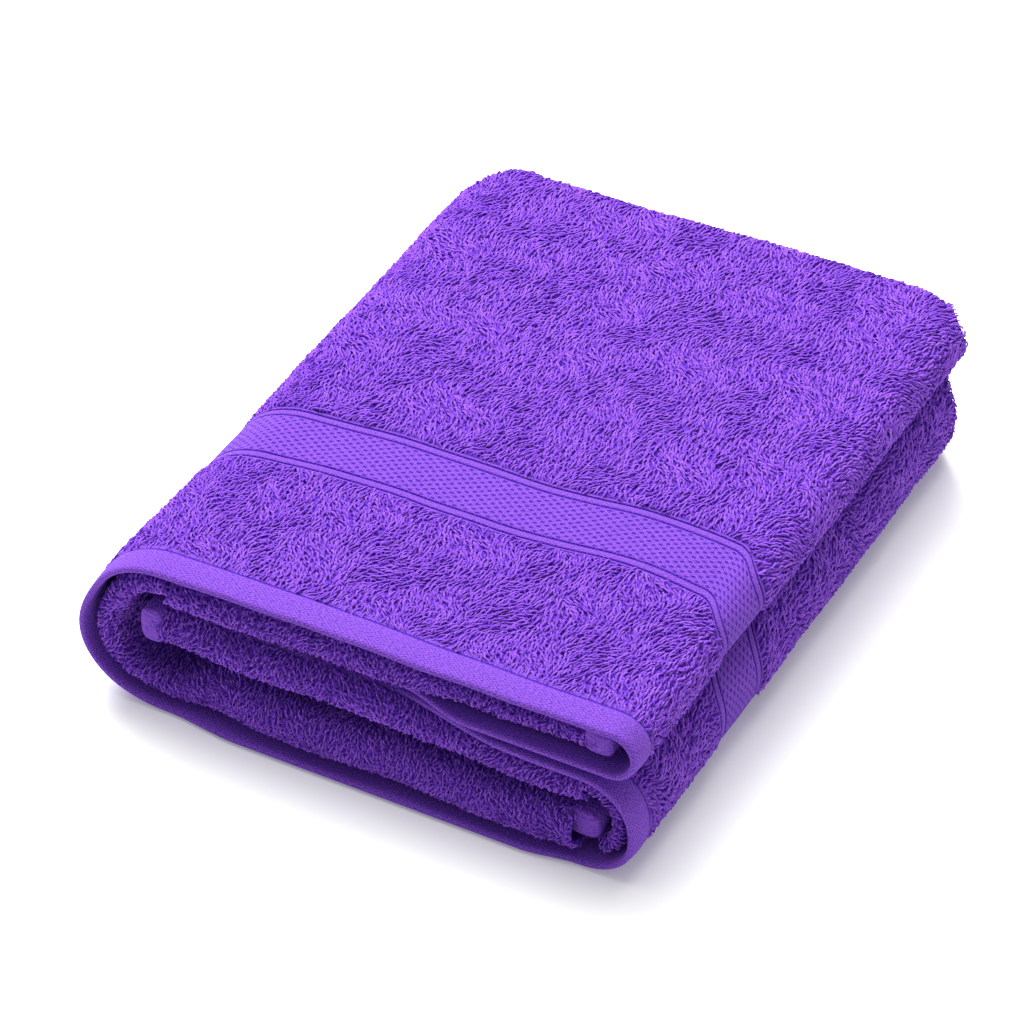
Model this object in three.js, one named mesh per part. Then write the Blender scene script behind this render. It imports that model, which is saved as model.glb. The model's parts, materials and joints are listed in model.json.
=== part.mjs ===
// A folded terry bath towel. Lengthwise it is folded into a wall of several layers; across, the wall runs
// from a tucked side edge over the top, round the spine on the left, along the bottom, round the lower
// bend on the right and back inside as the middle wall. Millimetres, +Z up, front hems towards -Y,
// spine towards -X, origin in the middle of the face that the towel rests on.
import * as THREE from "three";

// ---- Driving dimensions --------------------------------------------------------------------------
const foldedWidth = 255; // X, spine to the bends on the right
const foldedDepth = 326; // Y, hems to the back folds
const lowerHeight = 50.7; // the lower packet: bottom wall and middle wall
const upperHeight = 26; // the upper packet: top wall and its tucked side flap
const clothThickness = 6.5; // one layer of cloth with the loops of both faces
const spineLining = 11; // the inner layers where they run round the spine
const bottomLining = 20; // the inner layers above the bottom cloth
const hemWidth = 17; // plain-weave hem along the cut end
const borderStart = 86; // from the front edge to the dobby border
const borderWidth = 43;
const flapLength = 100; // flat part of the side flap tucked under the top wall
const middleEdgeInset = 26; // from the spine's outside to the middle wall's side edge
const selvedgeWidth = 7; // smooth side edge of the cloth
const lowerEndWidth = 7; // smooth ends of the inner layers beside the bends
const lowerEndHeight = 13;
const upperEndWidth = 5;
const innerRecess = 6; // how far the inner layers' front folds lie behind the hems
const endRoom = 7; // from the inner layers' ends to the bends' inside faces, where the hollows show
const seamWidth = 1; // sewing thread of the hem seam
const seamHeight = 1;
const clearance = 0.3; // between neighbouring solids
const bendSteps = 18; // straight steps in a half-round bend

// ---- Sizes that follow ---------------------------------------------------------------------------
const height = lowerHeight + clearance + upperHeight;
const spineRadius = height / 2;
const lowerBendRadius = lowerHeight / 2;
const upperBendRadius = upperHeight / 2;
const spineX = spineRadius; // where the walls meet the spine, measured from the spine's outside
const lowerBendX = foldedWidth - lowerBendRadius;
const upperBendX = foldedWidth - upperBendRadius;
const upperBase = lowerHeight + clearance; // underside of the upper packet
const bottomLiningTop = clothThickness + clearance + bottomLining;
const middleBase = bottomLiningTop + clearance; // underside of the middle wall
const borderEnd = borderStart + borderWidth;
const backTurn = clothThickness; // the cloth's own thickness where it turns down at the back
const backTurnStart = foldedDepth - backTurn;

// ---- Outlines in the XZ plane --------------------------------------------------------------------
function slab(x0, x1, z0, z1) {
  const outline = new THREE.Shape();
  outline.moveTo(x0, z0);
  outline.lineTo(x1, z0);
  outline.lineTo(x1, z1);
  outline.lineTo(x0, z1);
  outline.closePath();
  return outline;
}

// Half a ring, open to the left (side 1, a bend on the right) or to the right (side -1, the spine).
function halfRing(x, z, outer, inner, side) {
  const outline = new THREE.Shape();
  const from = -side * (Math.PI / 2);
  outline.absarc(x, z, outer, from, from + Math.PI, false);
  outline.absarc(x, z, inner, from + Math.PI, from, true);
  outline.closePath();
  return outline;
}

// ---- Solids --------------------------------------------------------------------------------------
function along(outline, y0, y1) {
  const options = { depth: y1 - y0, bevelEnabled: false, curveSegments: bendSteps };
  const geometry = new THREE.ExtrudeGeometry(outline, options);
  geometry.rotateX(Math.PI / 2);
  geometry.translate(0, y1, 0);
  return geometry;
}

function cloth(color, roughness) {
  return new THREE.MeshStandardMaterial({ color, roughness, metalness: 0 });
}
const terry = cloth("#6a2fd6", 0.95);
const plainWeave = cloth("#8350ea", 0.85);
const dobbyWeave = cloth("#7a45e2", 0.85);
const thread = cloth("#5a22c4", 0.7);

const towel = new THREE.Group();
towel.position.set(-foldedWidth / 2, -foldedDepth / 2, 0);

function add(name, geometry, material) {
  const mesh = new THREE.Mesh(geometry, material);
  mesh.name = name;
  towel.add(mesh);
}

// ---- The outer layer -----------------------------------------------------------------------------
// Each stretch of it gives its outline for a depth measured inwards from the outer face.
const stretches = {
  bottom: (depth) => slab(spineX + clearance, lowerBendX - clearance, 0, depth),
  lower_bend: (depth) =>
    halfRing(lowerBendX, lowerBendRadius, lowerBendRadius, lowerBendRadius - depth, 1),
  middle: (depth) =>
    slab(
      middleEdgeInset + selvedgeWidth + clearance,
      lowerBendX - clearance,
      lowerHeight - depth,
      lowerHeight,
    ),
  spine: (depth) => halfRing(spineX, spineRadius, spineRadius, spineRadius - depth, -1),
  top: (depth) => slab(spineX + clearance, upperBendX - clearance, height - depth, height),
  upper_bend: (depth) =>
    halfRing(upperBendX, upperBase + upperBendRadius, upperBendRadius, upperBendRadius - depth, 1),
  side_flap: (depth) =>
    slab(upperBendX - flapLength, upperBendX - clearance, upperBase, upperBase + depth),
};

// How thick the wall is where the cloth turns down at the back over its inner layers.
const wallDepths = {
  bottom: bottomLiningTop,
  lower_bend: clothThickness + clearance + endRoom,
  middle: lowerHeight - middleBase,
  spine: clothThickness + clearance + spineLining,
  top: upperHeight - clothThickness - clearance,
};

for (const [name, outline] of Object.entries(stretches)) {
  const skin = outline(clothThickness);
  const seamStart = hemWidth + clearance;
  const headerStart = seamStart + seamWidth + clearance;
  const backEnd = name in wallDepths ? backTurnStart - clearance : foldedDepth;
  add(`${name}_hem`, along(skin, 0, hemWidth), plainWeave);
  add(`${name}_hem_seam`, along(outline(seamHeight), seamStart, seamStart + seamWidth), thread);
  add(`${name}_header_terry`, along(skin, headerStart, borderStart - clearance), terry);
  add(`${name}_dobby_border`, along(skin, borderStart, borderEnd), dobbyWeave);
  add(`${name}_back_terry`, along(skin, borderEnd + clearance, backEnd), terry);
}

for (const [name, depth] of Object.entries(wallDepths)) {
  add(`${name}_back_fold`, along(stretches[name](depth), backTurnStart, foldedDepth), terry);
}

// ---- The inner layers ----------------------------------------------------------------------------
const innerBack = backTurnStart - clearance;
const lowerInnerEnd = lowerBendX + lowerBendRadius - clothThickness - endRoom;
const upperInnerEnd = upperBendX - clearance;

function addInner(name, outline, material) {
  add(name, along(outline, innerRecess, innerBack), material);
}

addInner(
  "spine_inner_folds",
  halfRing(
    spineX,
    spineRadius,
    spineRadius - clothThickness - clearance,
    spineRadius - clothThickness - clearance - spineLining,
    -1,
  ),
  terry,
);
addInner(
  "bottom_inner_folds",
  slab(spineX + clearance, lowerBendX - clearance, clothThickness + clearance, bottomLiningTop),
  terry,
);
addInner(
  "bottom_inner_side_edge",
  slab(
    lowerBendX,
    Math.min(lowerBendX + lowerEndWidth, lowerInnerEnd),
    lowerBendRadius - lowerEndHeight,
    lowerBendRadius,
  ),
  plainWeave,
);
addInner(
  "middle_inner_folds",
  slab(
    middleEdgeInset + selvedgeWidth + clearance,
    lowerBendX - clearance,
    middleBase,
    lowerHeight - clothThickness - clearance,
  ),
  terry,
);
addInner(
  "middle_side_edge",
  slab(middleEdgeInset, middleEdgeInset + selvedgeWidth, middleBase + clothThickness, lowerHeight),
  plainWeave,
);

// The top wall's inner layers lie on the middle wall, and on the side flap where it is tucked under them.
const topInner = new THREE.Shape();
const flapEdgeX = upperBendX - flapLength - selvedgeWidth - 2 * clearance;
const overFlap = upperBase + clothThickness + clearance;
const underTop = height - clothThickness - clearance;
topInner.moveTo(spineX + clearance, upperBase);
topInner.lineTo(flapEdgeX, upperBase);
topInner.lineTo(flapEdgeX, overFlap);
topInner.lineTo(upperInnerEnd - upperEndWidth - clearance, overFlap);
topInner.lineTo(upperInnerEnd - upperEndWidth - clearance, underTop);
topInner.lineTo(spineX + clearance, underTop);
topInner.closePath();
addInner("top_inner_folds", topInner, terry);
addInner(
  "top_inner_side_edge",
  slab(upperInnerEnd - upperEndWidth, upperInnerEnd, overFlap, underTop),
  plainWeave,
);
addInner(
  "side_flap_side_edge",
  slab(
    flapEdgeX + clearance,
    flapEdgeX + clearance + selvedgeWidth,
    upperBase,
    upperBase + clothThickness,
  ),
  plainWeave,
);

export default towel;
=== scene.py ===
"""A folded violet terry bath towel: woven cloth, turned hems, dobby border, side edges, stitches and loop
pile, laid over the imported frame. The outer cloth follows one long path in the XZ plane: from the tucked
side flap over the top, round the spine, along the bottom, round the lower bend and back inside."""

import json
import math

import bmesh
import bpy
from mathutils import Matrix, Vector, noise

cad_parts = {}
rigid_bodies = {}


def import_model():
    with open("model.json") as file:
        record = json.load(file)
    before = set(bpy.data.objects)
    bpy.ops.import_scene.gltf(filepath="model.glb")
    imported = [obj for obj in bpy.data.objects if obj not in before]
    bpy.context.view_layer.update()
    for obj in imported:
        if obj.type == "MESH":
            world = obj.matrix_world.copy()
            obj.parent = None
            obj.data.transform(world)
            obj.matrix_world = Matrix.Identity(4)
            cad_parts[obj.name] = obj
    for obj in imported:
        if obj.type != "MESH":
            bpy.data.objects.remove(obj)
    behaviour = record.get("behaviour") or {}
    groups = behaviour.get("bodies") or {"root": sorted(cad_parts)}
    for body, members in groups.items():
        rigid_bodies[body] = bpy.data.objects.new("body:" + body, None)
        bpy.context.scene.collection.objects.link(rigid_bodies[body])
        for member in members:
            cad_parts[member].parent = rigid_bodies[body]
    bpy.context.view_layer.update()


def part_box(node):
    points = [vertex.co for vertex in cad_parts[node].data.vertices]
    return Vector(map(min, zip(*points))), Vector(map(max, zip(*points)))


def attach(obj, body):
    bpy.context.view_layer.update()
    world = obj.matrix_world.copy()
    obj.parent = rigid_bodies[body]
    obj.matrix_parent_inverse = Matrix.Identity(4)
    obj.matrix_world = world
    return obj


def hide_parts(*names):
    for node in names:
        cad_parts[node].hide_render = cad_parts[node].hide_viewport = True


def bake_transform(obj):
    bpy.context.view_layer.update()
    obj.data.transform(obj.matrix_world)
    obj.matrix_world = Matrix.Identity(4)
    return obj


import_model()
MM = 0.001

# ---- Sizes from the frame ------------------------------------------------------------------------
spine_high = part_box("spine_back_terry")[1]
lower_low, lower_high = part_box("lower_bend_back_terry")
upper_low, upper_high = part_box("upper_bend_back_terry")
hem_low, hem_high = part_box("top_hem")
border_low, border_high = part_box("top_dobby_border")
flap_low, flap_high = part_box("side_flap_back_terry")
middle_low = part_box("middle_back_terry")[0]
top_inner_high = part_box("top_inner_folds")[1]
bottom_inner_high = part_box("bottom_inner_folds")[1]
middle_inner_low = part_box("middle_inner_folds")[0]
spine_inner_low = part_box("spine_inner_folds")[0]

FRONT = hem_low.y
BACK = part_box("top_back_fold")[1].y
HEIGHT = spine_high.z
SPINE_X = spine_high.x
SPINE_R = HEIGHT / 2
LOWER_X = lower_low.x
LOWER_R = (lower_high.z - lower_low.z) / 2
UPPER_X = upper_low.x
UPPER_R = (upper_high.z - upper_low.z) / 2
UPPER_BASE = upper_low.z
LOWER_TOP = lower_high.z
HEM_END = hem_high.y
BORDER_START, BORDER_END = border_low.y, border_high.y
CLOTH = hem_high.z - hem_low.z
INNER_FRONT = spine_inner_low.y

# ---- Sizes of the cloth --------------------------------------------------------------------------
HEM_DEPTH = 0.5 * MM  # how far each weave's face lies under the tips of the pile
BORDER_DEPTH = 1.2 * MM
GROUND_DEPTH = 1.4 * MM
HEM_THICK = 3.8 * MM  # the hem is the cloth turned twice, so it is thick and round at its fold
BORDER_THICK = 2.2 * MM
GROUND_THICK = 1.4 * MM
FACING = 1.0 * MM  # cloth of one turn of the hem
SEAM_INSET = 2.8 * MM  # from the hem's back edge to its row of stitches
RIBS = (3.6 * MM, 7.8 * MM)  # furrows beside the border's ribs, from its edges
LINING = {"lower_bend": 7 * MM, "spine": 11 * MM}  # depth of the layers inside a bend
DENTS = (13, 42)  # broad and small dents in the cloth, for each metre
GRID = 3.0 * MM  # grid step of flat terry
HEM_GRID = 1.2 * MM
INNER_GRID = 2.2 * MM
FINE = 0.5 * MM  # grid step across the border's ribs


# ---- The path of the outer cloth -----------------------------------------------------------------
def line(x0, x1, z, up):
    """A flat stretch: its length, and a function from distance to place and outward direction."""
    way = 1 if x1 > x0 else -1
    return abs(x1 - x0), lambda s: (x0 + way * s, z, 0.0, up)


def turn(x, z, radius, start, slump=0.0, centre=0.0, spread=45.0):
    """A half-round stretch that starts at an angle in degrees and turns anticlockwise. slump is how far
    it bulges under the weight above it, most at the angle centre and nothing past spread on each side."""

    def at(s):
        a = math.radians(start) + s / radius
        off = min(abs(math.degrees(a) - centre) / spread, 1.0)
        out = radius + slump * math.cos(off * math.pi / 2) ** 2
        return x + out * math.cos(a), z + out * math.sin(a), math.cos(a), math.sin(a)

    return math.pi * radius, at


STRETCHES = {
    "side_flap": line(flap_low.x, UPPER_X, UPPER_BASE, -1.0),
    "upper_bend": turn(UPPER_X, UPPER_BASE + UPPER_R, UPPER_R, -90),
    "top": line(UPPER_X, SPINE_X, HEIGHT, 1.0),
    "spine": turn(SPINE_X, SPINE_R, SPINE_R, 90, 4.5 * MM, 208, 60),
    "bottom": line(SPINE_X, LOWER_X, 0.0, -1.0),
    "lower_bend": turn(LOWER_X, LOWER_R, LOWER_R, -90, 1.0 * MM, -42, 46),
    "middle": line(LOWER_X, middle_low.x, LOWER_TOP, 1.0),
}
STARTS = {}
path_length = 0.0
for stretch_name, (stretch_length, _) in STRETCHES.items():
    STARTS[stretch_name] = path_length
    path_length += stretch_length


def uneven(u, v, layer):
    """A smooth random value from -1 to 1 that changes once for each unit of u and v."""
    return noise.noise(Vector((u, v, layer)))


def ease(value, start, end):
    """0 before start, 1 after end, and a smooth rise between them."""
    t = min(max((value - start) / (end - start), 0.0), 1.0)
    return t * t * (3 - 2 * t)


def softness(s, y, nz):
    """How far the cloth lies off its path: broad dents and small ones, none where it rests."""
    free = ease(nz, -1.0, -0.4)
    broad = uneven(s * DENTS[0], y * DENTS[0], 3.7)
    small = uneven(s * DENTS[1], y * DENTS[1], 8.1)
    return free * (1.6 * MM * broad + 0.5 * MM * small - 0.3 * MM)


def drift(x, y):
    """How the cloth was pulled along Y as it was folded: the border bows towards the back near x = 75 mm
    and towards the front at both ends, and the back corners are round, the right one most."""
    inside = ease(y, HEM_END - 10 * MM, BORDER_START) * (1 - ease(y, BORDER_END, BACK))
    bow = 5 * MM * math.exp(-(((x - 75 * MM) / (38 * MM)) ** 2))
    bow -= 6 * MM * ease(-x, 20 * MM, 110 * MM) + 13 * MM * ease(x, 108 * MM, 128 * MM)
    far = ease(y, BACK - 90 * MM, BACK)
    left = ease(-x, 85 * MM, 128 * MM) ** 2
    right = ease(x, 92 * MM, 128 * MM) ** 2
    edge = 4.5 * MM * ease(-x, -60 * MM, 60 * MM) + 10 * MM * left + 17 * MM * right
    return inside * bow - far * edge


def place(stretch, s, y, depth):
    """The point at distance s along a stretch, at y, that far under the outer face."""
    x, z, nx, nz = STRETCHES[stretch][1](s)
    lift = softness(STARTS[stretch] + s, y, nz) - depth
    return Vector((x + nx * lift, y + drift(x, y), z + nz * lift))


# ---- Building cloth ------------------------------------------------------------------------------
def to_object(name, bm, smooth=True):
    mesh = bpy.data.meshes.new(name)
    bm.to_mesh(mesh)
    bm.free()
    obj = bpy.data.objects.new(name, mesh)
    bpy.context.scene.collection.objects.link(obj)
    if smooth:
        mesh.shade_smooth()
    return obj


def settle(obj):
    """Turns a piece with modifiers into a plain mesh."""
    graph = bpy.context.evaluated_depsgraph_get()
    mesh = bpy.data.meshes.new_from_object(obj.evaluated_get(graph), depsgraph=graph)
    obj.modifiers.clear()
    obj.data = mesh
    return obj


def strip(name, length, width, shape, steps, outward, at=(0.5, 0.5), start=0.0):
    """A strip of cloth from a grid: shape(s, t) gives the place of a point s along and t across. Each
    corner keeps (s, t) in metres as its cloth coordinates, and each point the direction of its warp.
    The face nearest to the share at of the strip looks outward. The strip keeps its flat size, measured
    along its two middle lines."""
    bm = bmesh.new()
    bmesh.ops.create_grid(bm, x_segments=steps[0], y_segments=steps[1], size=0.5)
    cloth = bm.loops.layers.uv.new("Cloth")
    warp = bm.verts.layers.float_vector.new("warp")
    where = {}
    for vert in bm.verts:
        s, t = (vert.co.x + 0.5) * length, (vert.co.y + 0.5) * width
        where[vert] = (start + s, t)
        vert.co = shape(s, t)
        vert[warp] = (vert.co - shape(s, t - 0.2 * MM)).normalized()
    for face in bm.faces:
        for corner in face.loops:
            corner[cloth].uv = where[corner.vert]
    middle = shape(at[0] * length, at[1] * width)
    nearest = min(bm.faces, key=lambda face: (face.calc_center_median() - middle).length)
    nearest.normal_update()
    if nearest.normal.dot(outward) < 0:
        bmesh.ops.reverse_faces(bm, faces=bm.faces[:])
    obj = to_object(name, bm)
    parts = 60
    obj["flat"] = [
        sum((shape(x * length, y * width) - shape(x1 * length, y1 * width)).length for x, y, x1, y1 in way)
        for way in (
            [(i / parts, 0.5, (i + 1) / parts, 0.5) for i in range(parts)],
            [(0.5, i / parts, 0.5, (i + 1) / parts) for i in range(parts)],
        )
    ]
    return obj


def along_path(name, stretch, s0, s1, width, section, across=GRID, outward=None, at=(0.5, 0.5)):
    """A strip that follows a stretch from s0 to s1. section(t, x) gives its y and depth."""
    position = STRETCHES[stretch][1]

    def shape(s, t):
        y, depth = section(t, position(s0 + s)[0])
        return place(stretch, s0 + s, y, depth)

    if outward is None:
        _, _, nx, nz = position(s0 + at[0] * (s1 - s0))
        outward = Vector((nx, 0, nz))
    fewest = 24 if "bend" in stretch or stretch == "spine" else 4  # a round stretch needs more
    columns = max(fewest, round((s1 - s0) / GRID))
    steps = (columns, max(3, round(width / across)))
    return strip(name, s1 - s0, width, shape, steps, outward, at, STARTS[stretch] + s0)


def flat(y0, y1, depth):
    """Section of flat cloth from y0 to y1."""
    return y1 - y0, lambda t, x: (y0 + t, depth)


def ribbed_border():
    """Section of the border: two raised ribs run along each of its edges, between narrow furrows, and
    the edges themselves are tucked in under the pile."""
    width = BORDER_END - BORDER_START

    def section(t, x):
        edge = min(t, width - t)
        grooves = sum(math.exp(-(((edge - g) / (0.45 * MM)) ** 2)) for g in RIBS)
        tuck = 0.9 * MM * math.exp(-((edge / (1.2 * MM)) ** 2))
        return BORDER_START + t, BORDER_DEPTH + 0.7 * MM * grooves + tuck

    return width, section


def turned_hem(recess):
    """Section of the hem: in from its seam under the pile to the front, round its fold and back. It
    swells a little between the fold and the seam, and the seam pulls it in."""
    radius = (HEM_THICK - FACING) / 2
    reach = HEM_END - FRONT
    arc = math.pi * radius
    width = 2 * (reach - radius) + arc

    def section(t, x):
        back = recess(x)
        flat_part = reach - radius
        swell = 0.5 * MM * math.sin(math.pi * min(max(t / flat_part, 0), 1))
        swell -= 0.6 * MM * math.exp(-(((t - SEAM_INSET) / (0.7 * MM)) ** 2))
        if t < flat_part:
            return HEM_END - t + back, HEM_DEPTH - swell + 0.5 * MM
        if t < flat_part + arc:
            a = (t - flat_part) / radius
            y = FRONT + radius * (1 - math.sin(a))
            return y + back, HEM_DEPTH + 0.5 * MM + radius * (1 - math.cos(a))
        return FRONT + radius + (t - flat_part - arc) + back, HEM_DEPTH + 0.5 * MM + 2 * radius

    return width, section


def back_roll(y0, wall, extra):
    """Section of flat cloth from y0 that ends in a round fold at the back, as deep as the wall and the
    extra depth at each x."""
    fold = wall - 2 * GROUND_DEPTH
    reach = min(fold / 2, 9 * MM)
    flat_part = BACK - GROUND_DEPTH - reach - y0
    arc = math.pi * math.sqrt((reach**2 + (fold / 2) ** 2) / 2)

    def section(t, x):
        if t <= flat_part:
            return y0 + t, GROUND_DEPTH
        a = math.pi * min((t - flat_part) / arc, 1.0)
        round_depth = (fold + extra(x)) / 2 * (1 - math.cos(a))
        return y0 + flat_part + reach * math.sin(a), GROUND_DEPTH + round_depth

    return flat_part + arc, section


def front_fold(y_front, shallow, deep, hidden, shown, tuck, slip):
    """Section of an inner fold: under the outer cloth to the front, round it, and back on the inside.
    shallow and deep give its two depths for an x, and slip how far back it lies there. hidden and shown
    are its lengths on either face, and tuck is the depth that the hidden face slopes down to."""
    usual = deep(0.0) - shallow(0.0)
    arc = math.pi * usual / 2

    def section(t, x):
        sag = 1.2 * MM * uneven(x * 26, usual * 900, 7.7)
        top, base = shallow(x) + GROUND_DEPTH + sag, deep(x) - GROUND_DEPTH + sag
        reach = min((base - top) / 2 + 3 * MM, 11 * MM)
        waver = 2.2 * MM * uneven(x * 24, usual * 900, 1.3)
        y = y_front + GROUND_DEPTH + waver + slip(x)
        if t < hidden:
            back = 1 - t / hidden
            return y + reach + hidden * back, top + max(tuck - top, 0) * ease(back, 0, 1)
        a = math.pi * min((t - hidden) / arc, 1.0)
        if t < hidden + arc:
            return y + reach * (1 - math.sin(a)), top + (base - top) / 2 * (1 - math.cos(a))
        return y + reach + t - hidden - arc, base

    return hidden + arc + shown, section


def side_bar(name, low, high):
    """A smooth side edge of the folded layers: a long ball with flat flanks and a domed front."""
    squareness = 3.6  # 2 would be round, and far more would be sharp
    dome = 0.4  # depth of the front against half the bar's thickness
    middle, half = (low + high) / 2, (high - low) / 2
    bm = bmesh.new()
    bmesh.ops.create_uvsphere(bm, u_segments=24, v_segments=12, radius=1.0)
    bmesh.ops.rotate(bm, verts=bm.verts, matrix=Matrix.Rotation(math.pi / 2, 3, "X"))
    for vert in bm.verts:
        x, y, z = vert.co
        flank = (abs(x) ** squareness + abs(z) ** squareness) ** (1 / squareness)
        round_again = math.hypot(x, z) / flank if flank > 0 else 1
        end = half.y - dome * min(half.x, half.z) * (1 - abs(y)) if y else 0.0
        vert.co = (x * round_again * half.x, math.copysign(end, y), z * round_again * half.z)
    long_edges = [edge for edge in bm.edges if edge.calc_length() > half.y / 2]
    bmesh.ops.subdivide_edges(bm, edges=long_edges, cuts=30, use_grid_fill=True)
    cloth = bm.loops.layers.uv.new("Cloth")
    for face in bm.faces:
        for corner in face.loops:
            x, y, z = corner.vert.co
            corner[cloth].uv = (y + 0.8 * x, z + 0.6 * x + 0.2)
    for vert in bm.verts:
        x, y, z = vert.co + middle
        wave = 0.5 * MM * uneven(y * 40, middle.x * 100, 5.0)
        vert.co = (x + wave, y + drift(x, y), z + wave)
    bmesh.ops.recalc_face_normals(bm, faces=bm.faces[:])
    bar = to_object(name, bm)
    bar["flat"] = [2 * half.y, 1.8 * (half.x + half.z)]
    return bar


def solidify(sheet, thickness):
    solid = sheet.modifiers.new("thickness", "SOLIDIFY")
    solid.thickness = thickness
    solid.offset = -1
    settle(sheet)
    sheet.data.shade_smooth()
    sheet.data.set_sharp_from_angle(angle=math.radians(60))


# ---- Materials -----------------------------------------------------------------------------------
def linear(code):
    """An sRGB hex value as a linear colour."""
    channels = [int(code[i : i + 2], 16) / 255 for i in (1, 3, 5)]
    return [c / 12.92 if c <= 0.04045 else ((c + 0.055) / 1.055) ** 2.4 for c in channels] + [1.0]


def node(tree, kind, inputs=(), **settings):
    """Adds one node with its settings. inputs pairs each input with a value or with what feeds it."""
    made = tree.nodes.new(kind)
    for key, value in settings.items():
        setattr(made, key, value)
    for key, value in inputs:
        if isinstance(value, bpy.types.NodeSocket):
            tree.links.new(value, made.inputs[key])
        else:
            made.inputs[key].default_value = value
    return made


def dyed(name, colour, roughness, sheen, gloss=0.12):
    """Reactive-dyed thread: a material of one colour with the soft edge light of fibre ends. A weave
    drawn on it takes that colour's place."""
    material = bpy.data.materials.new(name)
    material.use_nodes = True
    tree = material.node_tree
    shader = tree.nodes["Principled BSDF"]
    shader.inputs["Base Color"].default_value = linear(colour)
    shader.inputs["Roughness"].default_value = roughness
    shader.inputs["Specular IOR Level"].default_value = gloss
    shader.inputs["Sheen Weight"].default_value = sheen
    shader.inputs["Sheen Roughness"].default_value = 0.5
    shader.inputs["Sheen Tint"].default_value = linear("#b27dff")
    return material, tree, shader


def woven_look(tree, shader, weave, low, high, dark, light, relief):
    """Shades a weave from dark to light where its value goes from low to high, and raises it."""
    share = node(
        tree,
        "ShaderNodeMapRange",
        [("Value", weave), ("From Min", low), ("From Max", high)],
        interpolation_type="SMOOTHSTEP",
    )
    shade = node(
        tree,
        "ShaderNodeMix",
        [("Factor", share.outputs["Result"])],
        data_type="RGBA",
    )
    shade.inputs["A"].default_value = linear(dark)
    shade.inputs["B"].default_value = linear(light)
    tree.links.new(shade.outputs["Result"], shader.inputs["Base Color"])
    bump = node(tree, "ShaderNodeBump", [("Height", weave), ("Strength", 0.9), ("Distance", relief)])
    tree.links.new(bump.outputs["Normal"], shader.inputs["Normal"])


def cloth_coordinates(tree):
    """Distance along and across the strip of cloth, in metres."""
    coords = node(tree, "ShaderNodeUVMap", uv_map="Cloth")
    parts = node(tree, "ShaderNodeSeparateXYZ", [("Vector", coords.outputs["UV"])])
    return parts.outputs["X"], parts.outputs["Y"]


def interlacing(tree, along, across, cell_along, cell_across):
    """A staggered check from -1 to 1, with cells of that size in metres."""
    turns_along = node(
        tree, "ShaderNodeMath", [(0, along), (1, math.pi / cell_along)], operation="MULTIPLY"
    )
    turns_across = node(
        tree, "ShaderNodeMath", [(0, across), (1, math.pi / cell_across)], operation="MULTIPLY"
    )
    wave_along = node(tree, "ShaderNodeMath", [(0, turns_along.outputs[0])], operation="SINE")
    wave_across = node(tree, "ShaderNodeMath", [(0, turns_across.outputs[0])], operation="SINE")
    check = node(
        tree,
        "ShaderNodeMath",
        [(0, wave_along.outputs[0]), (1, wave_across.outputs[0])],
        operation="MULTIPLY",
    )
    return check.outputs[0]


def spun(tree, length, thickness):
    """Unevenness of spun thread, from 0 to 1: patches of that length along the path of the cloth and
    that thickness across it."""
    coords = node(tree, "ShaderNodeUVMap", uv_map="Cloth")
    in_threads = node(
        tree,
        "ShaderNodeMapping",
        [("Vector", coords.outputs["UV"]), ("Scale", (1 / length, 1 / thickness, 1))],
    )
    patches = node(
        tree,
        "ShaderNodeTexNoise",
        [("Vector", in_threads.outputs[0]), ("Scale", 1.0), ("Detail", 3.0), ("Roughness", 0.7)],
    )
    return patches.outputs["Fac"]


def furrow(tree, across, at, width):
    """1 on a line that runs along the cloth, falling to 0 beside it."""
    offset = node(tree, "ShaderNodeMath", [(0, across), (1, at)], operation="SUBTRACT")
    away = node(tree, "ShaderNodeMath", [(0, offset.outputs[0])], operation="ABSOLUTE")
    line_strength = node(
        tree,
        "ShaderNodeMapRange",
        [("Value", away.outputs[0]), ("From Min", width), ("From Max", 0.0)],
        interpolation_type="SMOOTHSTEP",
    )
    return line_strength.outputs["Result"]


def loop_yarn(name, colour):
    """Low-twist cotton yarn of the loops: matt, with light fibre ends that soften every edge. The pile
    gets its colour variation from three shades of it."""
    material, _, _ = dyed(name, colour, 0.9, 0.3)
    return material


def ground_weave():
    """The ground between the loops, plain woven: painted deep violet as painted shade, standing for the
    shade that the pile casts on it, with strands of low loops in it that lie along the warp, 2.6 mm long."""
    material, tree, shader = dyed("cotton_ground_plain_woven_painted_shade", "#4c1bb4", 1.0, 0.0)
    strands = spun(tree, 0.9 * MM, 2.6 * MM)
    # Both colours of the strands are painted dark, as painted shade under the pile.
    woven_look(tree, shader, strands, 0.36, 0.62, "#3a0c98", "#7440c4", 1.2 * MM)
    return material


def hem_weave():
    """Plain-woven cotton of the hems and side edges: an even grain of short dashes. The threads are
    0.35 mm apart; they are drawn three times as coarse, so that the grain shows."""
    material, tree, shader = dyed("cotton_hem_plain_woven", "#7c40e8", 0.85, 0.25)
    along, across = cloth_coordinates(tree)
    check = interlacing(tree, along, across, 1.1 * MM, 0.75 * MM)
    uneven = spun(tree, 1.3 * MM, 0.6 * MM)
    grain = node(tree, "ShaderNodeMath", [(0, check), (1, 0.1), (2, uneven)], operation="MULTIPLY_ADD")
    # The seam's line is sunk and also painted darker: painted shade in the groove that the seam pulls in.
    seam = furrow(tree, across, SEAM_INSET, 0.9 * MM)
    weave = node(
        tree, "ShaderNodeMath", [(0, seam), (1, -0.45), (2, grain.outputs[0])], operation="MULTIPLY_ADD"
    )
    woven_look(tree, shader, weave.outputs[0], 0.26, 0.68, "#40149a", "#8954c4", 0.6 * MM)
    return material


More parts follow.
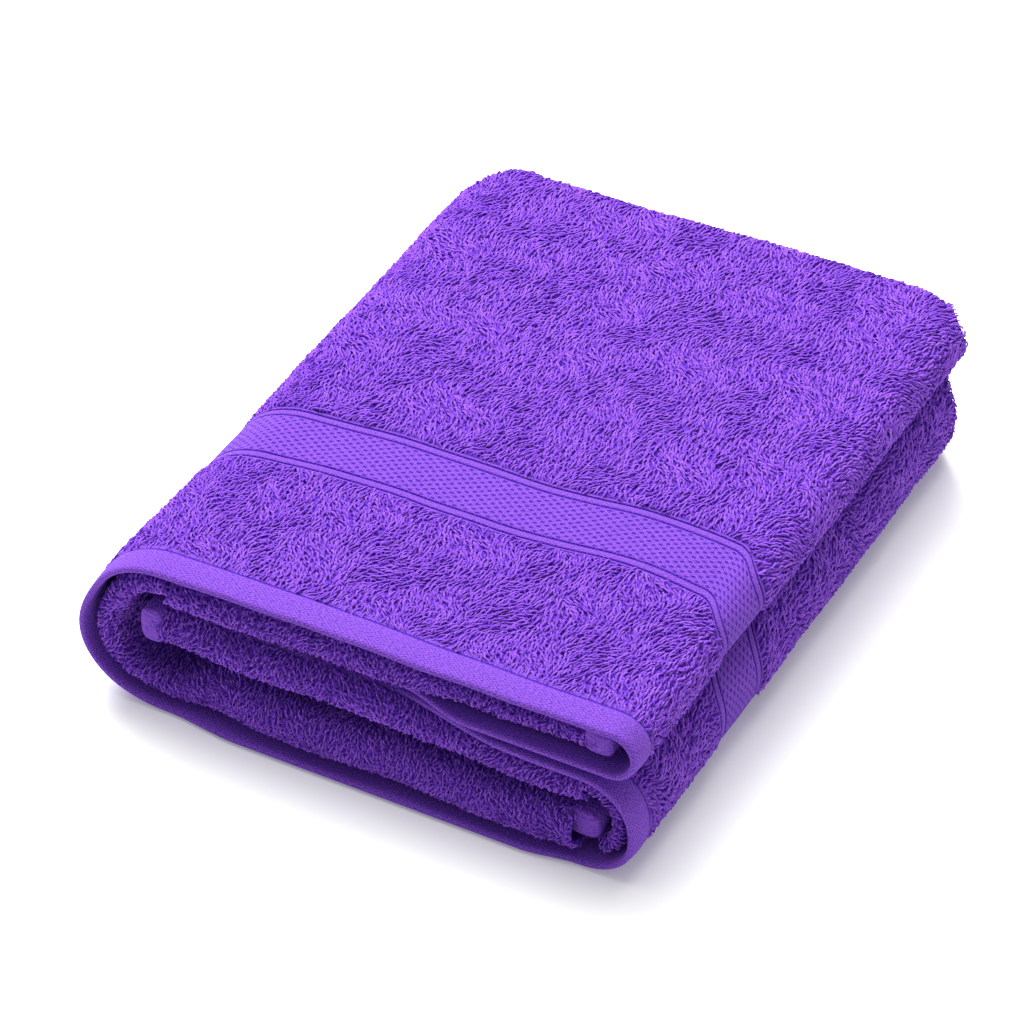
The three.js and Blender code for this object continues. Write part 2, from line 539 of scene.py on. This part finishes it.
def dobby_weave():
    """Dobby-woven cotton of the border: smooth floats with staggered dark ties, 5.2 by 3.4 mm apart, and
    two plain ribs along each edge. Its finest threads are drawn twice as coarse, so that they show."""
    material, tree, shader = dyed("cotton_border_dobby_woven", "#8448f0", 0.8, 0.25)
    along, across = cloth_coordinates(tree)
    half_width = (BORDER_END - BORDER_START) / 2
    edge = node(tree, "ShaderNodeMath", [(0, across), (1, half_width)], operation="PINGPONG").outputs[0]
    inside = node(
        tree,
        "ShaderNodeMapRange",
        [("Value", edge), ("From Min", RIBS[1]), ("From Max", RIBS[1] + 1.5 * MM), ("To Min", 0.0)],
    )
    check = interlacing(tree, along, across, 2.6 * MM, 1.7 * MM)
    patchy = spun(tree, 3.5 * MM, 3.5 * MM)
    uneven_check = node(
        tree, "ShaderNodeMath", [(0, patchy), (1, -0.9), (2, check)], operation="MULTIPLY_ADD"
    )
    ties = node(
        tree,
        "ShaderNodeMapRange",
        [
            ("Value", uneven_check.outputs[0]),
            ("From Min", -0.55),
            ("From Max", -1.25),
            ("To Max", 0.75),
        ],
        interpolation_type="SMOOTHSTEP",
    )
    inner_ties = node(
        tree,
        "ShaderNodeMath",
        [(0, ties.outputs["Result"]), (1, inside.outputs["Result"])],
        operation="MULTIPLY",
    )
    fine = interlacing(tree, along, across, 0.9 * MM, 0.7 * MM)
    uneven = spun(tree, 1.4 * MM, 0.65 * MM)
    weave = node(tree, "ShaderNodeMath", [(0, fine), (1, 0.14), (2, uneven)], operation="MULTIPLY_ADD")
    # The furrows beside the ribs and near each edge are sunk and also painted darker: painted shade in the
    # grooves. The ties are dark threads of the weave itself.
    for depth in (
        furrow(tree, edge, RIBS[0], 0.8 * MM),
        furrow(tree, edge, RIBS[1], 0.8 * MM),
        furrow(tree, edge, RIBS[0] / 2, 0.4 * MM),
        inner_ties.outputs[0],
    ):
        weave = node(
            tree,
            "ShaderNodeMath",
            [(0, depth), (1, -0.5), (2, weave.outputs[0])],
            operation="MULTIPLY_ADD",
        )
    woven_look(tree, shader, weave.outputs[0], 0.12, 0.68, "#35099a", "#834dbb", 0.7 * MM)
    return material


def sewing_thread():
    """Polyester sewing thread of the hem seams: tighter and a little glossier than the cotton."""
    material, tree, shader = dyed("polyester_sewing_thread_twisted", "#4c1bb8", 0.5, 0.1, 0.3)
    coords = node(tree, "ShaderNodeTexCoord")
    twist = node(
        tree,
        "ShaderNodeTexNoise",
        [("Vector", coords.outputs["Object"]), ("Scale", 1 / (0.3 * MM)), ("Detail", 1.0)],
    )
    bump = node(
        tree,
        "ShaderNodeBump",
        [("Height", twist.outputs["Fac"]), ("Strength", 0.4), ("Distance", 0.2 * MM)],
    )
    tree.links.new(bump.outputs["Normal"], shader.inputs["Normal"])
    return material


YARNS = [
    loop_yarn("cotton_loop_yarn_light", "#8e55d2"),
    loop_yarn("cotton_loop_yarn_middle", "#834bca"),
    loop_yarn("cotton_loop_yarn_deep", "#7841c1"),
]
GROUND = ground_weave()
HEM = hem_weave()
DOBBY = dobby_weave()
THREAD = sewing_thread()


# ---- Loop pile -----------------------------------------------------------------------------------
def loop_shape(name, half_span, rise, lean, sides, steps, yarn):
    """One terry loop: yarn spun through a low arch along X, then leaned over to one side."""
    bm = bmesh.new()
    bmesh.ops.create_circle(bm, segments=sides, radius=yarn)
    bmesh.ops.translate(bm, vec=(half_span, 0, 0), verts=bm.verts)
    bmesh.ops.spin(
        bm,
        geom=bm.verts[:] + bm.edges[:],
        axis=(0, -1, 0),
        cent=(0, 0, 0),
        angle=math.pi,
        steps=steps,
    )
    squeeze = Matrix.Diagonal((1, 1, rise / half_span, 1))
    lean_over = Matrix.Shear("XY", 4, (0, lean))
    bmesh.ops.transform(bm, matrix=lean_over @ squeeze, verts=bm.verts)
    bmesh.ops.recalc_face_normals(bm, faces=bm.faces[:])
    return to_object(name, bm)


LOOPS = (  # half span and height in mm, and how far it leans to one side against its height
    (1.5, 1.5, 0.4),
    (1.9, 1.3, -0.6),
    (1.3, 1.7, 0.8),
    (1.7, 1.6, -0.2),
    (2.1, 1.2, 0.1),
    (1.4, 1.8, -0.9),
)


def loop_set(name, sides, steps, yarn, span, rise):
    """Six loops of differing half span, height and lean, in three shades, as a collection. sides and
    steps count the faces round and along the yarn, whose radius is in mm."""
    shapes = bpy.data.collections.new(name)
    for i, (half_span, height, lean) in enumerate(LOOPS):
        shape = loop_shape(
            f"{name}_{i}",
            half_span * span * MM,
            height * rise * MM,
            lean,
            sides,
            steps,
            yarn * MM,
        )
        shape.data.materials.append(YARNS[i % 3])
        bpy.context.scene.collection.objects.unlink(shape)
        shapes.objects.link(shape)
    return shapes


SWIRL = 26 * MM  # size of the patches in which the loops are brushed one way
WANDER = 1.2  # how far the brushing turns them off the warp, in radians
STRAY = 0.4  # and each loop by itself

SEEN_LOOPS = loop_set("loop_seen", 3, 4, 0.52, 1.05, 0.7)
FRONT_LOOPS = loop_set("loop_front", 3, 4, 0.38, 0.7, 0.85)
BACK_LOOPS = loop_set("loop_back", 3, 3, 0.55, 1.15, 1.0)
FAR_LOOPS = loop_set("loop_far", 3, 3, 0.8, 1.7, 1.1)


def pile_group(name, shapes, spacing, seed):
    """Geometry nodes that lay a loop on each of many evenly spread points, combed along the warp."""
    tree = bpy.data.node_groups.new(name, "GeometryNodeTree")
    tree.interface.new_socket("Geometry", in_out="INPUT", socket_type="NodeSocketGeometry")
    tree.interface.new_socket("Geometry", in_out="OUTPUT", socket_type="NodeSocketGeometry")
    came = node(tree, "NodeGroupInput")
    points = node(
        tree,
        "GeometryNodeDistributePointsOnFaces",
        [
            ("Mesh", came.outputs["Geometry"]),
            ("Distance Min", spacing),
            ("Density Max", 1.6 / spacing**2),
            ("Seed", seed),
        ],
        distribute_method="POISSON",
    )
    warp = node(tree, "GeometryNodeInputNamedAttribute", [("Name", "warp")], data_type="FLOAT_VECTOR")
    swirl = node(
        tree,
        "ShaderNodeTexNoise",
        [("Scale", 1 / SWIRL), ("Detail", 1.0), ("Roughness", 0.5)],
    )
    off_warp = node(
        tree,
        "ShaderNodeMapRange",
        [
            ("Value", swirl.outputs["Fac"]),
            ("From Min", 0.25),
            ("From Max", 0.75),
            ("To Min", -WANDER),
            ("To Max", WANDER),
        ],
    )
    stray = node(
        tree,
        "FunctionNodeRandomValue",
        [(2, -STRAY), (3, STRAY), ("Seed", seed + 1)],
        data_type="FLOAT",
    )
    angle = node(
        tree,
        "ShaderNodeMath",
        [(0, off_warp.outputs["Result"]), (1, stray.outputs[1])],
        operation="ADD",
    )
    upright = node(
        tree,
        "FunctionNodeAlignRotationToVector",
        [("Vector", points.outputs["Normal"])],
        axis="Z",
    )
    combed = node(
        tree,
        "FunctionNodeAlignRotationToVector",
        [("Rotation", upright.outputs[0]), ("Vector", warp.outputs[0])],
        axis="X",
        pivot_axis="Z",
    )
    about = node(tree, "ShaderNodeCombineXYZ", [("Z", angle.outputs[0])])
    swung = node(tree, "FunctionNodeEulerToRotation", [("Euler", about.outputs[0])])
    facing = node(
        tree,
        "FunctionNodeRotateRotation",
        [("Rotation", combed.outputs[0]), ("Rotate By", swung.outputs[0])],
        rotation_space="LOCAL",
    )
    size = node(
        tree,
        "FunctionNodeRandomValue",
        [(2, 0.8), (3, 1.15), ("Seed", seed + 2)],
        data_type="FLOAT",
    )
    choice = node(
        tree,
        "FunctionNodeRandomValue",
        [(4, 0), (5, len(shapes.objects) - 1), ("Seed", seed + 3)],
        data_type="INT",
    )
    pick = node(
        tree,
        "GeometryNodeCollectionInfo",
        [("Collection", shapes), ("Separate Children", True), ("Reset Children", True)],
    )
    stood = node(
        tree,
        "GeometryNodeInstanceOnPoints",
        [
            ("Points", points.outputs["Points"]),
            ("Instance", pick.outputs[0]),
            ("Rotation", facing.outputs[0]),
            ("Scale", size.outputs[1]),
            ("Instance Index", choice.outputs[2]),
            ("Pick Instance", True),
        ],
    )
    real = node(tree, "GeometryNodeRealizeInstances", [("Geometry", stood.outputs[0])])
    node(tree, "NodeGroupOutput", [("Geometry", real.outputs[0])])
    return tree


seeds = iter(range(100, 20000, 10))


def pile_on(name, base, spacing, shapes, keep=None, through=0.0):
    """Loops on a sheet, as a piece of their own. keep(centre) picks the faces that carry them. Where
    through is given, they stand on the far face of a cloth of that thickness."""
    pile = bpy.data.objects.new(name, base.data.copy())
    bpy.context.scene.collection.objects.link(pile)
    bm = bmesh.new()
    bm.from_mesh(pile.data)
    if keep:
        bare = [face for face in bm.faces if not keep(face.calc_center_median())]
        bmesh.ops.delete(bm, geom=bare, context="FACES")
    if through:
        bmesh.ops.reverse_faces(bm, faces=bm.faces[:])
        bm.normal_update()
        for vert in bm.verts:
            vert.co += vert.normal * through
    bm.to_mesh(pile.data)
    bm.free()
    modifier = pile.modifiers.new("pile", "NODES")
    modifier.node_group = pile_group(name, shapes, spacing, next(seeds))
    settle(pile)
    return pile


# ---- Fixing pieces to the frame ------------------------------------------------------------------
# The body that each stretch rides on, or the two that it bends between and the heights where the bend
# starts and ends; fasten doesn't use these two bodies and heights, and leaves such pieces fixed where they
# lie. The spine's lining is given more of its height for its bend than the cloth round it.
BODY = {
    "side_flap": "side_flap",
    "upper_bend": ("top_half", "side_flap", UPPER_BASE + UPPER_R + 4 * MM, UPPER_BASE + UPPER_R - 4 * MM),
    "top": "top_half",
    "spine": ("bottom_half", "top_half", SPINE_R - 9 * MM, SPINE_R + 9 * MM),
    "spine_lining": ("bottom_half", "top_half", 14 * MM, HEIGHT - 14 * MM),
    "bottom": "bottom_half",
    "lower_bend": "bottom_half",
    "middle": "bottom_half",
}


def fasten(piece, stretch, slot, *nodes):
    """Moves a piece with its body, or, where its stretch joins two bodies, leaves it fixed where it lies.
    """
    body = BODY[stretch]
    if isinstance(body, str):
        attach(piece, body)
    else:
        first, second, low, high = body
        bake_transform(piece)
    if nodes:
        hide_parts(*nodes)


def finish_cloth(sheet, stretch, slot, material, thickness, nodes):
    """Gives a sheet its thickness and weave, and fastens it to the frame."""
    solidify(sheet, thickness)
    sheet.data.materials.append(material)
    fasten(sheet, stretch, slot, *nodes)


# ---- The outer cloth -----------------------------------------------------------------------------
def wall_of(stretch):
    """The depth of the folded wall at the back of a stretch, or None where it is one layer."""
    if stretch in ("bottom", "top", "middle"):
        low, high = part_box(f"{stretch}_back_fold")
        return high.z - low.z
    if stretch in LINING:
        return CLOTH + LINING[stretch]
    return None


def level(depth):
    return lambda x: depth


def past_flap(x):
    """How much deeper the top wall lies to the left of the side flap's edge."""
    return (flap_high.z - flap_low.z - 1 * MM) * ease(-x, -flap_low.x, -flap_low.x + 6 * MM)


def hem_recess(stretch):
    """How far a hem's fold lies behind the front: two hems slip back between the inner folds, and the
    bottom one is pressed forward."""
    if stretch == "middle":
        return lambda x: 10 * MM * ease(-x, -70 * MM, -10 * MM)
    if stretch == "side_flap":
        return lambda x: 9 * MM * ease(-x, -52 * MM, -16 * MM)
    if stretch == "bottom":
        left, right = SPINE_X + 35 * MM, LOWER_X - 25 * MM
        return lambda x: -3.5 * MM * ease(x, SPINE_X, left) * ease(-x, -LOWER_X, -right)
    return level(0.0)


SPACING = {  # between the loops of each stretch; the hidden faces have fewer and larger loops
    "top": 1.2 * MM,
    "spine": 1.4 * MM,
    "upper_bend": 1.2 * MM,
    "lower_bend": 1.3 * MM,
    "bottom": 3.4 * MM,
    "middle": 2.8 * MM,
    "side_flap": 2.8 * MM,
}
SEEN = ("top", "spine", "upper_bend", "lower_bend")

for stretch, (length, _) in STRETCHES.items():
    shapes = SEEN_LOOPS if stretch in SEEN else FAR_LOOPS
    wall = wall_of(stretch)
    overlap = 1.0 * MM
    zones = {
        "hem": turned_hem(hem_recess(stretch)),
        "header_terry": flat(HEM_END - overlap, BORDER_START + overlap, GROUND_DEPTH),
        "dobby_border": ribbed_border(),
        "back_terry": (
            back_roll(BORDER_END - overlap, wall, past_flap if stretch == "top" else level(0.0))
            if wall
            else flat(BORDER_END - overlap, BACK - GROUND_DEPTH, GROUND_DEPTH)
        ),
    }
    for zone, (width, section) in zones.items():
        across = {"hem": HEM_GRID, "dobby_border": FINE}.get(zone, GRID)
        sheet = along_path(
            f"{stretch}_{zone}_cloth", stretch, 0.0, length, width, section, across, at=(0.5, 0.1)
        )
        nodes = [f"{stretch}_{zone}"]
        if zone == "back_terry" and wall:
            nodes.append(f"{stretch}_back_fold")
        if "terry" in zone:
            roll = BACK - 16 * MM if stretch in ("bottom", "middle") else BACK - 63 * MM
            halfway = 30 * MM
            cuts = [(-1, halfway), (halfway, roll), (roll, 1)] if zone == "back_terry" else [(-1, 1)]
            for number, (low, high) in enumerate(cuts):
                tag = f"_{number + 1}" if len(cuts) > 1 else ""
                rolled = number == 2 and stretch in ("bottom", "middle")  # this much is seen
                loops = pile_on(
                    f"{stretch}_{zone}_loops{tag}",
                    sheet,
                    1.7 * MM if rolled else SPACING[stretch],
                    BACK_LOOPS if rolled else shapes,
                    keep=lambda centre: low <= centre.y < high,
                )
                fasten(loops, stretch, "terry")
            if stretch in ("side_flap", "upper_bend"):
                loops = pile_on(
                    f"{stretch}_{zone}_inside_loops", sheet, 2.8 * MM, FAR_LOOPS, through=GROUND_THICK
                )
                fasten(loops, stretch, "terry")
            finish_cloth(sheet, stretch, "terry", GROUND, GROUND_THICK, nodes)
        elif zone == "hem":
            finish_cloth(sheet, stretch, "plain_weave", HEM, FACING, nodes)
        else:
            finish_cloth(sheet, stretch, "dobby_weave", DOBBY, BORDER_THICK, nodes)


# ---- The inner folds -----------------------------------------------------------------------------
HIDDEN = 8 * MM  # how far an inner fold reaches back under the outer cloth
DENSE = 22 * MM  # its front, which is seen and has close loops


def inner_fold(
    name, stretch, s0, s1, y_front, shallow, deep, shown, nodes=(), tuck=0.0, slip=level(0.0), bends=None
):
    """One fold of the inner layers, with close loops on its round front and plain ones behind. bends
    names its row in BODY, where that isn't its stretch's own."""
    bends = bends or stretch
    width, section = front_fold(y_front, shallow, deep, HIDDEN, shown, tuck, slip)
    arc_share = (HIDDEN + (deep(0.0) - shallow(0.0)) * math.pi / 4) / width
    sheet = along_path(
        f"{name}_cloth",
        stretch,
        s0,
        s1,
        width,
        section,
        INNER_GRID,
        outward=Vector((0, -1, 0)),
        at=(0.5, arc_share),
    )
    front = pile_on(
        f"{name}_front_loops",
        sheet,
        1.1 * MM,
        FRONT_LOOPS,
        keep=lambda centre: centre.y < y_front + DENSE,
    )
    fasten(front, bends, "terry")
    if shown > DENSE:
        rest = pile_on(
            f"{name}_inside_loops",
            sheet,
            3.0 * MM,
            FAR_LOOPS,
            keep=lambda centre: centre.y >= y_front + DENSE,
        )
        fasten(rest, bends, "terry")
    finish_cloth(sheet, bends, "terry", GROUND, GROUND_THICK, nodes)


to_back = BACK - FRONT - 25 * MM  # length of the layers that run to the back

# The bottom roll slopes down to the spine's lining at its left end.
roll_base, lining_base = bottom_inner_high.z - 0.5 * MM, CLOTH + 11.5 * MM
inner_fold(
    "bottom_inner",
    "bottom",
    0.0,
    bottom_inner_high.x - SPINE_X - 3 * MM,
    FRONT - 2.5 * MM,
    level(CLOTH - 1.5 * MM),
    lambda x: roll_base - (roll_base - lining_base) * ease(-x, 62 * MM, -SPINE_X - 1 * MM),
    DENSE,
    ["bottom_inner_folds"],
    slip=lambda x: 4.5 * MM * ease(-x, 45 * MM, -SPINE_X),
)
inner_fold(
    "spine_inner",
    "spine",
    0.0,
    STRETCHES["spine"][0],
    FRONT + 2.5 * MM,
    level(CLOTH + 0.3 * MM),
    level(CLOTH + LINING["spine"]),
    to_back,
    ["spine_inner_folds"],
    bends="spine_lining",
)
top_shelf = HEIGHT - UPPER_BASE
over_flap = HEIGHT - flap_high.z
inner_fold(
    "top_inner",
    "top",
    UPPER_X - top_inner_high.x,
    STRETCHES["top"][0],
    INNER_FRONT - 3 * MM,
    level(CLOTH + 1.5 * MM),
    lambda x: over_flap
    + (top_shelf - over_flap - 0.5 * MM) * ease(-x, -flap_low.x - 36 * MM, -flap_low.x + 2 * MM),
    to_back,
    ["top_inner_folds"],
)
inner_fold(
    "middle_inner",
    "middle",
    0.0,
    LOWER_X - middle_inner_low.x,
    FRONT + 1.5 * MM,
    lambda x: CLOTH - 1 * MM - 4.5 * MM * ease(-x, -60 * MM, 0),
    level(LOWER_TOP - middle_inner_low.z - 4 * MM),
    DENSE,
    ["middle_inner_folds"],
    tuck=CLOTH + 2 * MM,
)
bend_length = STRETCHES["lower_bend"][0]
inner_fold(
    "lower_bend_inner",
    "lower_bend",
    bend_length * 0.16,
    bend_length,
    FRONT + 3 * MM,
    level(CLOTH - 1 * MM),
    level(CLOTH + LINING["lower_bend"]),
    16 * MM,
)

# ---- Smooth side edges ---------------------------------------------------------------------------
# Each bar starts a little off its node's front and reaches sideways into the fold that it closes: to the
# right where way is -1, and to the left where it is 1.
for node_name, stretch, way in (
    ("middle_side_edge", "middle", -1),
    ("bottom_inner_side_edge", "bottom", 1),
    ("top_inner_side_edge", "top", 1),
    ("side_flap_side_edge", "side_flap", -1),
):
    low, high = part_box(node_name)
    low.y += {"side_flap": 6 * MM, "middle": -3 * MM}.get(stretch, -2 * MM)
    low.x, high.x = (low.x, high.x + 4 * MM) if way < 0 else (low.x - 8 * MM, high.x)
    edge = side_bar(f"{node_name}_cloth", low, high)
    edge.data.materials.append(HEM)
    fasten(edge, stretch, "plain_weave", node_name)


# ---- Hem seams -----------------------------------------------------------------------------------
def stitches(stretch):
    """A row of lock stitches through the hem, just in front of the pile: one long bead for each stitch,
    laid a little off the line and off the straight, as sewing is."""
    length, position = STRETCHES[stretch]
    bm = bmesh.new()
    pitch = 2.8 * MM
    for i in range(max(1, int(length / pitch))):
        s = (i + 0.5) * pitch
        y = HEM_END - SEAM_INSET + 0.25 * MM * math.sin(i * 2.1)
        x, _, nx, nz = position(s)
        centre = place(stretch, s, y + hem_recess(stretch)(x), HEM_DEPTH + 0.9 * MM)
        made = bmesh.ops.create_uvsphere(bm, u_segments=6, v_segments=4, radius=1.0)
        stretched = Matrix.Diagonal((1.05 * MM, 0.32 * MM, 0.3 * MM, 1))
        slant = Matrix.Rotation(0.25 * math.sin(i * 1.7), 4, "Z")
        tilt = Vector((nx, 0, nz)).to_track_quat("Z", "Y").to_matrix().to_4x4()
        lay = Matrix.Translation(centre) @ tilt @ slant @ stretched
        bmesh.ops.transform(bm, matrix=lay, verts=made["verts"])
    row = to_object(f"{stretch}_hem_stitches", bm)
    row.data.materials.append(THREAD)
    fasten(row, stretch, "thread", f"{stretch}_hem_seam")


for stretch in STRETCHES:
    stitches(stretch)

# ---- Camera, floor and light ---------------------------------------------------------------------
CAMERA_AZIMUTH, CAMERA_ELEVATION = 28.56, 39.1  # degrees
CAMERA_DISTANCE = 2.107
CAMERA_LENS, CAMERA_FILM = 175.8, 36  # mm


def direction(azimuth, elevation):
    """From the towel's middle towards a place round it, in degrees from its front and from level."""
    a, e = math.radians(azimuth), math.radians(elevation)
    return Vector((math.sin(a) * math.cos(e), -math.cos(a) * math.cos(e), math.sin(e)))


back = direction(CAMERA_AZIMUTH, CAMERA_ELEVATION)
right = direction(CAMERA_AZIMUTH + 90, 0)
up = back.cross(right)
target = Vector((0, -0.6 * MM, 36 * MM)) - right * 13.9 * MM - up * 7.9 * MM  # what the camera looks at
camera = bpy.data.objects.new("camera", bpy.data.cameras.new("camera"))
camera.data.lens = CAMERA_LENS
camera.data.sensor_width = CAMERA_FILM
camera.location = target + back * CAMERA_DISTANCE
camera.rotation_euler = back.to_track_quat("Z", "Y").to_euler()
bpy.context.scene.collection.objects.link(camera)
bpy.context.scene.camera = camera

floor_mesh = bmesh.new()
bmesh.ops.create_grid(floor_mesh, x_segments=1, y_segments=1, size=6)
floor = to_object("floor", floor_mesh, smooth=False)
# Matt white paper, with a little light of its own so that it stays white beyond the lamps.
paper = bpy.data.materials.new("white_paper_sweep")
paper.use_nodes = True
sweep = paper.node_tree.nodes["Principled BSDF"].inputs
sweep["Base Color"].default_value = linear("#f4f5f2")
sweep["Roughness"].default_value = 0.9
sweep["Emission Color"].default_value = (1, 1, 1, 1)
sweep["Emission Strength"].default_value = 0.14
floor.data.materials.append(paper)


def soft_box(name, azimuth, elevation, distance, size, power):
    """A square soft light that looks at the towel; distance and size are in metres, power in watts."""
    lamp = bpy.data.lights.new(name, "AREA")
    lamp.energy = power
    lamp.size = size
    obj = bpy.data.objects.new(name, lamp)
    away = direction(azimuth, elevation)
    obj.location = away * distance
    obj.rotation_euler = away.to_track_quat("Z", "Y").to_euler()
    bpy.context.scene.collection.objects.link(obj)


soft_box("key", -130, 52, 1.6, 1.3, 40)
soft_box("overhead", -150, 76, 1.9, 1.7, 38)
world = bpy.data.worlds.new("studio")
bpy.context.scene.world = world
world.use_nodes = True
world.node_tree.nodes["Background"].inputs["Color"].default_value = (1, 1, 1, 1)
world.node_tree.nodes["Background"].inputs["Strength"].default_value = 0.45
bpy.context.scene.view_settings.view_transform = "Standard"
